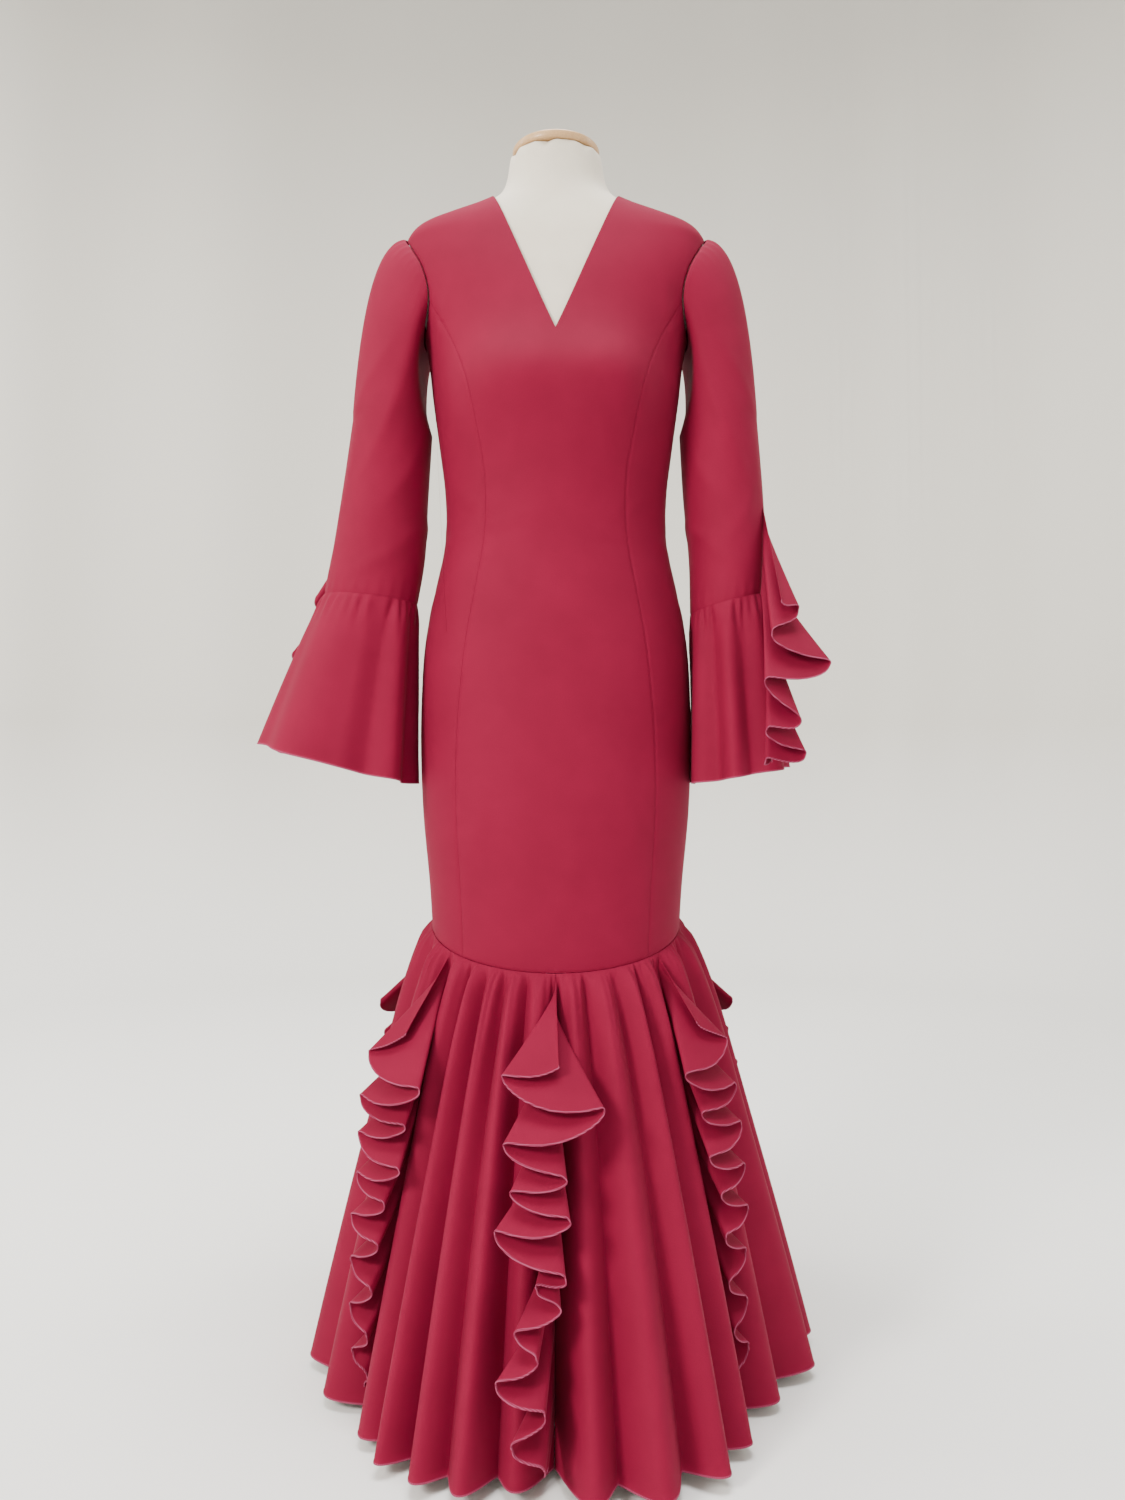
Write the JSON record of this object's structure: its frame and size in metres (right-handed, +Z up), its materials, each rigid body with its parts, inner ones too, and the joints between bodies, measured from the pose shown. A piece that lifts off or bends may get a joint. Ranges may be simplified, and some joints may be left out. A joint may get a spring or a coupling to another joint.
{
  "type": "flamenco dress on a dress form",
  "caption": "Long-sleeved V-neck flamenco dress with bell cuffs and a flared skirt of ruffle cascades, on a limbless dress form with a round stand.",
  "frame": {"origin": "centre of the stand's base where it meets the floor", "axes": "+Z up the pole, +X towards the viewer's right when the front is seen, -Y out of the front of the dress"},
  "size_m": [0.6757, 0.6249, 1.4653],
  "materials": {
    "crepe": "matte crepe",
    "form_jersey": "fine matte jersey",
    "cap_wood": "satin varnish",
    "stand_steel": "brushed",
    "zip_metal": "satin lacquer"
  },
  "bodies": {
    "dress": {"front_centre": "crepe", "front_side_left": "crepe", "front_side_right": "crepe", "back_side_left": "crepe", "back_side_right": "crepe", "back_centre_left": "crepe", "back_centre_right": "crepe", "sleeve_left": "crepe", "sleeve_right": "crepe", "sleeve_flounce_left": "crepe", "sleeve_flounce_right": "crepe", "sleeve_cascade_left": "crepe", "sleeve_cascade_right": "crepe", "skirt_front_left": "crepe", "skirt_front_right": "crepe", "skirt_side_left": "crepe", "skirt_side_right": "crepe", "skirt_back_left": "crepe", "skirt_back_right": "crepe", "cascade_front": "crepe", "cascade_front_left": "crepe", "cascade_front_right": "crepe", "cascade_back_left": "crepe", "cascade_back_right": "crepe", "cascade_back": "crepe", "zip_slider": "zip_metal", "form_torso": "form_jersey", "form_neck_cap": "cap_wood", "form_stand": "stand_steel"},
    "zip_tab": {"zip_pull_tab": "zip_metal"}
  },
  "joints": [
    {"name": "zip_tab_hinge", "type": "hinge", "parent": "dress", "child": "zip_tab", "pos_m": [0, 0.08218, 1.36752], "axis": [1, 0, 0], "range_deg": [0, 150]}
  ]
}
